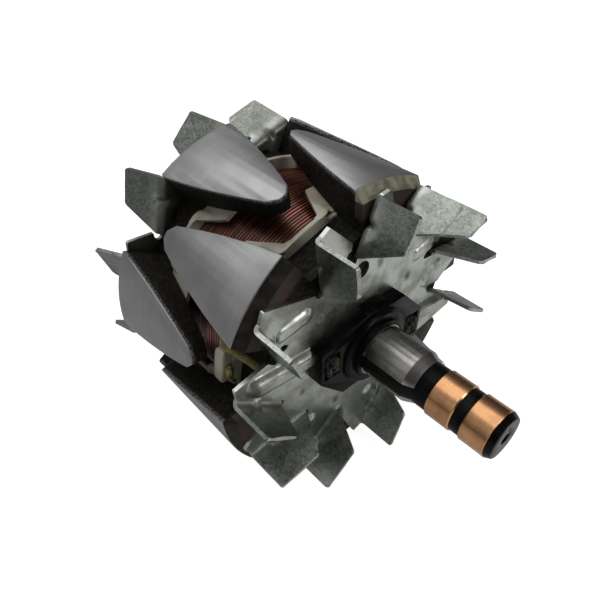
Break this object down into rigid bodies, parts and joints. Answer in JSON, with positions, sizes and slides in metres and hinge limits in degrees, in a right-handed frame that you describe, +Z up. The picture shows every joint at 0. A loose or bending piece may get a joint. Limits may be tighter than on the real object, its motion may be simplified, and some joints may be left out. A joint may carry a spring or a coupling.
{
  "type": "alternator rotor",
  "caption": "Claw-pole rotor of a vehicle alternator: two clawed poles over a field coil, a fan on each end, and slip rings outboard of the rear bearing seat.",
  "frame": {"origin": "on the shaft's axis, at the middle of the overall length, which is also midway between the two pole end faces", "axes": "+X runs along the shaft to the slip-ring end, +Z is up, and +Y completes a right-handed frame"},
  "size_m": [0.1626, 0.1029, 0.1028],
  "materials": {
    "machined_steel": "ground, with light stains",
    "pole_steel": "turned outside, raw forged sides",
    "bobbin_plastic": "matt ivory",
    "enamelled_wire": "varnished copper wire",
    "lead_sleeving": "varnished woven sleeving",
    "zinc_plated_sheet": "mottled zinc plating",
    "black_moulding": "satin black",
    "copper": "bright turned copper",
    "potting_resin": "glossy brown resin"
  },
  "bodies": {
    "root": {"shaft": "machined_steel", "front_spacer": "machined_steel", "front_claw_pole": "pole_steel", "rear_claw_pole": "pole_steel", "field_core": "pole_steel", "coil_bobbin": "bobbin_plastic", "field_coil": "enamelled_wire", "start_lead_sleeve": "lead_sleeving", "finish_lead_sleeve": "lead_sleeving", "front_fan": "zinc_plated_sheet", "rear_fan": "zinc_plated_sheet", "slip_ring_moulding": "black_moulding", "inner_slip_ring": "copper", "outer_slip_ring": "copper", "inner_ring_conductor": "copper", "outer_ring_conductor": "copper", "start_joint_potting": "potting_resin", "finish_joint_potting": "potting_resin"}
  },
  "joints": []
}
